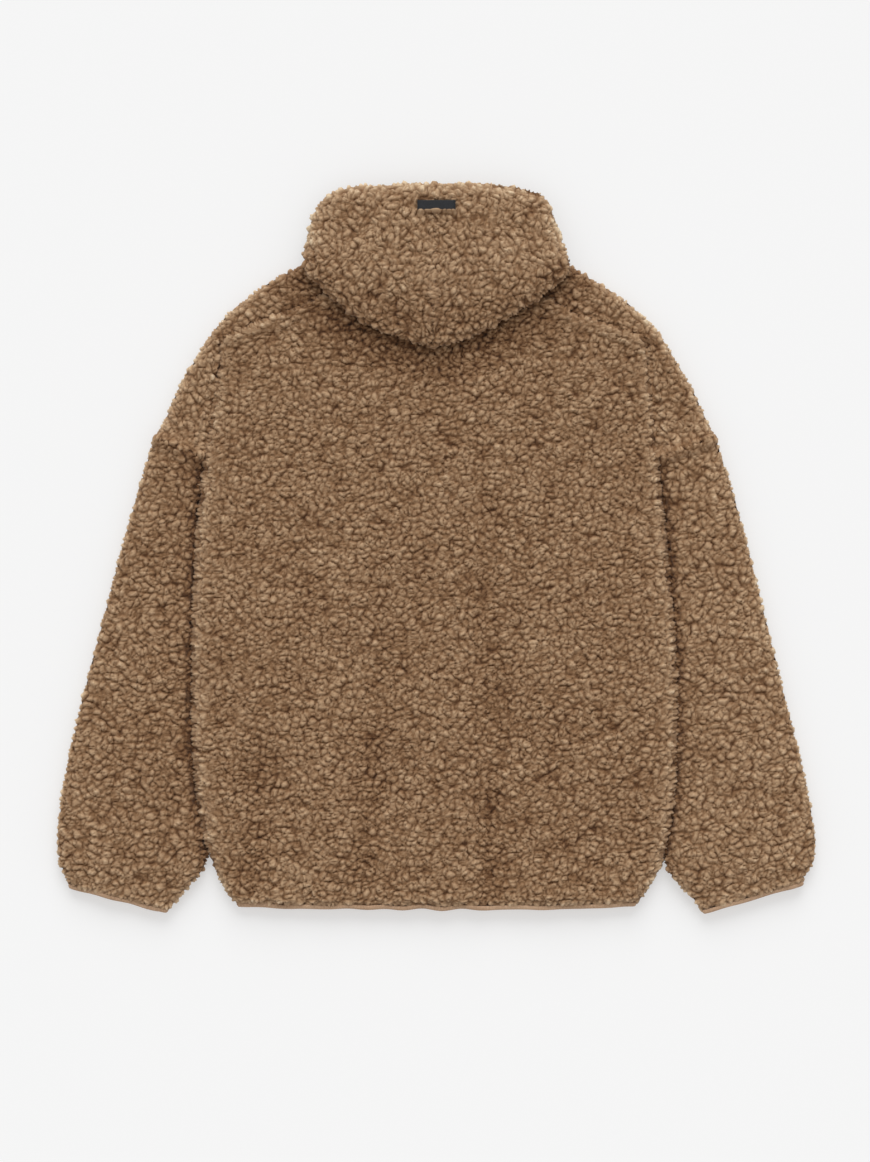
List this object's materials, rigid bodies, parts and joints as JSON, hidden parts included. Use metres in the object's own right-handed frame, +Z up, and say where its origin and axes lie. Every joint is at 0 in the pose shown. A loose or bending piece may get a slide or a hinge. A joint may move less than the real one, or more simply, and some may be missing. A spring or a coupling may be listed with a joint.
{
  "type": "fleece hoodie",
  "caption": "Pile fleece hoodie laid flat on its front, arms folded down beside the body and hood dropped on its back, with elastic-bound hem and cuffs.",
  "frame": {"origin": "on the surface the garment lies on, under the middle of its length and width", "axes": "+Z up out of the cloth, +Y from the hem to the hood, +X towards the wearer's right"},
  "size_m": [0.8192, 0.7876, 0.0414],
  "materials": {
    "pile_fleece": "curled polyester pile on a knitted backing, matt",
    "elastic_binding": "smooth knitted elastic binding",
    "woven_tab": "dark woven tab, bare"
  },
  "bodies": {
    "root": {"front": "pile_fleece", "back": "pile_fleece", "shoulder_left": "pile_fleece", "shoulder_right": "pile_fleece", "sleeve_left": "pile_fleece", "sleeve_right": "pile_fleece", "hood_left": "pile_fleece", "hood_right": "pile_fleece", "hood_fold": "pile_fleece", "hem_binding": "elastic_binding", "cuff_binding_left": "elastic_binding", "cuff_binding_right": "elastic_binding", "hood_tab": "woven_tab"}
  },
  "joints": []
}
